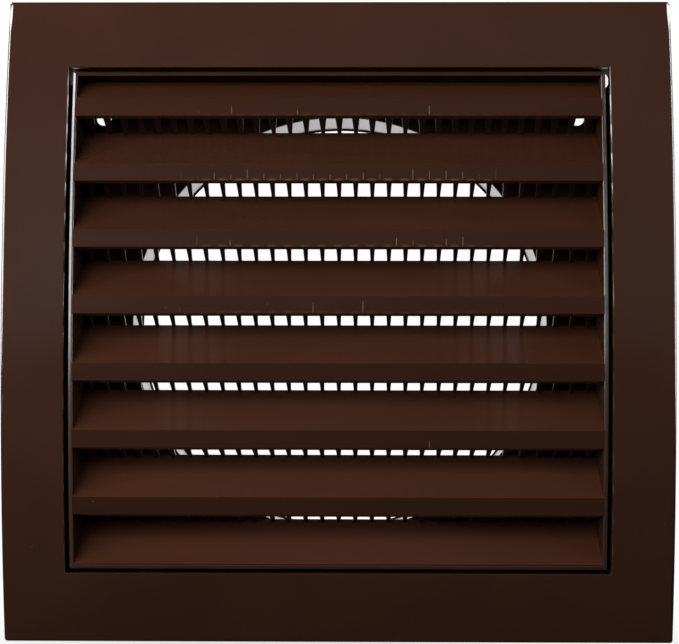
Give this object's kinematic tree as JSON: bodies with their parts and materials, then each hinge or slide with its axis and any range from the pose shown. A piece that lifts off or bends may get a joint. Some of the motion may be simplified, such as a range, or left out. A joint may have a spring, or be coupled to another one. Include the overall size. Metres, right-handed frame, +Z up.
{
  "type": "wall ventilation grille",
  "caption": "Square wall ventilation grille: bowed frame with a round duct spigot and a snap-in insert of fixed louvres with an insect comb.",
  "frame": {"origin": "centre of the wall face, on the axis of the duct spigot and in the middle of the four screw holes", "axes": "+Z up, +Y into the wall along the duct, the bowed front and its louvres face -Y, +X to the right seen from the front"},
  "size_m": [0.1864, 0.059, 0.18],
  "materials": {
    "frame_plastic": "chocolate brown moulded ABS, semi-gloss",
    "insert_plastic": "chocolate brown moulded ABS, semi-gloss, lightly scuffed"
  },
  "bodies": {
    "frame": {"face_frame": "frame_plastic", "recess_walls": "frame_plastic", "back_plate": "frame_plastic", "duct_spigot": "frame_plastic", "frame_ribs": "frame_plastic"},
    "louvre_insert": {"insert_frame": "insert_plastic", "snap_catches": "insert_plastic", "louvre_1": "insert_plastic", "louvre_2": "insert_plastic", "louvre_3": "insert_plastic", "louvre_4": "insert_plastic", "louvre_5": "insert_plastic", "louvre_6": "insert_plastic", "louvre_7": "insert_plastic", "louvre_8": "insert_plastic", "screen_1": "insert_plastic", "screen_2": "insert_plastic", "screen_3": "insert_plastic", "screen_4": "insert_plastic", "screen_5": "insert_plastic", "screen_6": "insert_plastic", "screen_7": "insert_plastic"}
  },
  "joints": [
    {"name": "insert_pull", "type": "slide", "parent": "frame", "child": "louvre_insert", "axis": [0, -1, 0], "range_m": [0, 0.05]}
  ]
}
